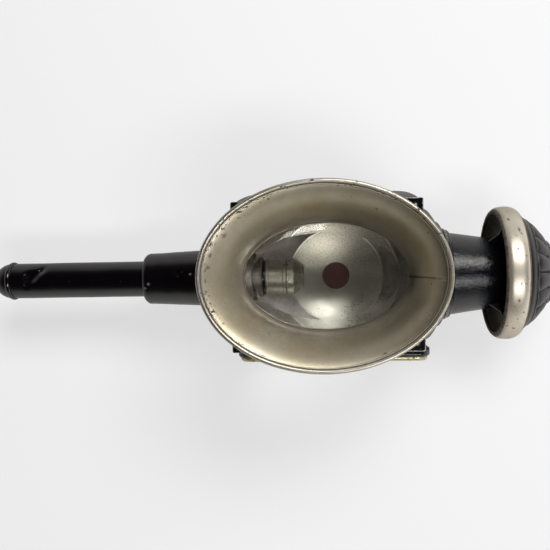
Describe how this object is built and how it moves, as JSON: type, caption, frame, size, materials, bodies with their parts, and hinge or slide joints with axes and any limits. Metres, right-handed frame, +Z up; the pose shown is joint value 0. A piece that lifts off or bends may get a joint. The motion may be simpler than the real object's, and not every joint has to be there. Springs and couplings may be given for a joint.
{
  "type": "carriage lamp",
  "caption": "Candle-burning carriage lamp with oval nickel bell hood, bevelled glass, dish reflector, glazed side door, spring-fed candle tube and banded chimney cap.",
  "frame": {"origin": "centre of the cylindrical seat of the stem, where the vehicle's lamp bracket holds the lamp", "axes": "+Z up along the common axis of stem, candle tube, neck and chimney cap; hood and front glass face -Y; the glazed door is on +X"},
  "size_m": [0.128, 0.1559, 0.458],
  "materials": {
    "black_enamel": "worn gloss black enamel on sheet steel",
    "nickel_plate": "aged satin nickel plate with fine scratches and dark specks",
    "silvered_copper": "silvered copper, slightly tarnished",
    "tinned_steel": "dull tinned sheet",
    "clear_glass": "clear bevelled plate glass",
    "ruby_glass": "ruby glass",
    "spring_steel": "drawn steel wire",
    "brass": "dull brass"
  },
  "bodies": {
    "lamp": {"body_shell": "black_enamel", "floor_plate": "black_enamel", "top_plate": "black_enamel", "front_plate": "black_enamel", "side_panel": "black_enamel", "hood_bell": "nickel_plate", "hood_rim": "nickel_plate", "hood_flange": "nickel_plate", "front_glass": "clear_glass", "glass_retainer": "tinned_steel", "reflector": "silvered_copper", "reflector_rim": "silvered_copper", "lens_tube": "tinned_steel", "rear_lens": "ruby_glass", "rear_bezel": "nickel_plate", "crown": "black_enamel", "neck": "black_enamel", "neck_collar": "black_enamel", "cap_band": "nickel_plate", "cap_tier": "black_enamel", "cap_dome": "black_enamel", "cap_button": "black_enamel", "cap_struts": "black_enamel", "wind_baffle": "black_enamel", "stem": "black_enamel", "stem_flange": "black_enamel", "flange_rivets": "black_enamel", "guide_sleeve": "tinned_steel", "body_hinge": "black_enamel", "hinge_pin": "brass", "plate_rivets": "black_enamel"},
    "door": {"door_frame": "black_enamel", "door_bead": "nickel_plate", "door_bezel": "nickel_plate", "door_glass": "clear_glass", "door_glass_retainer": "tinned_steel", "door_hinge_leaf": "black_enamel"},
    "catch": {"catch_knob": "nickel_plate", "catch_tongue": "spring_steel"},
    "candle_tube": {"candle_tube": "black_enamel", "nozzle_collar": "nickel_plate", "bayonet_pins": "brass", "candle_spring": "spring_steel"},
    "nozzle": {"nozzle_cap": "nickel_plate"},
    "follower": {"candle_follower": "brass"},
    "end_cap": {"tube_end_cap": "black_enamel"}
  },
  "joints": [
    {"name": "door_hinge", "type": "hinge", "parent": "lamp", "child": "door", "pos_m": [0.057, 0.0455, 0.089], "axis": [0, 0, 1], "range_deg": [0, 110]},
    {"name": "catch_turn", "type": "hinge", "parent": "door", "child": "catch", "pos_m": [0.06, -0.0396, 0.092], "axis": [1, 0, 0], "range_deg": [0, 90]},
    {"name": "tube_slide", "type": "slide", "parent": "lamp", "child": "candle_tube", "axis": [0, 0, -1], "range_m": [0, 0.13]},
    {"name": "nozzle_turn", "type": "hinge", "parent": "candle_tube", "child": "nozzle", "pos_m": [0, 0, 0.061], "axis": [0, 0, 1], "range_deg": [0, 30]},
    {"name": "follower_slide", "type": "slide", "parent": "candle_tube", "child": "follower", "axis": [0, 0, 1], "range_m": [-0.155, 0], "stiffness_N_per_m": 30, "springref_m": 0.06, "deforming": ["candle_spring"]},
    {"name": "end_cap_turn", "type": "hinge", "parent": "candle_tube", "child": "end_cap", "pos_m": [0, 0, -0.167], "axis": [0, 0, 1], "range_deg": [0, 30]}
  ]
}
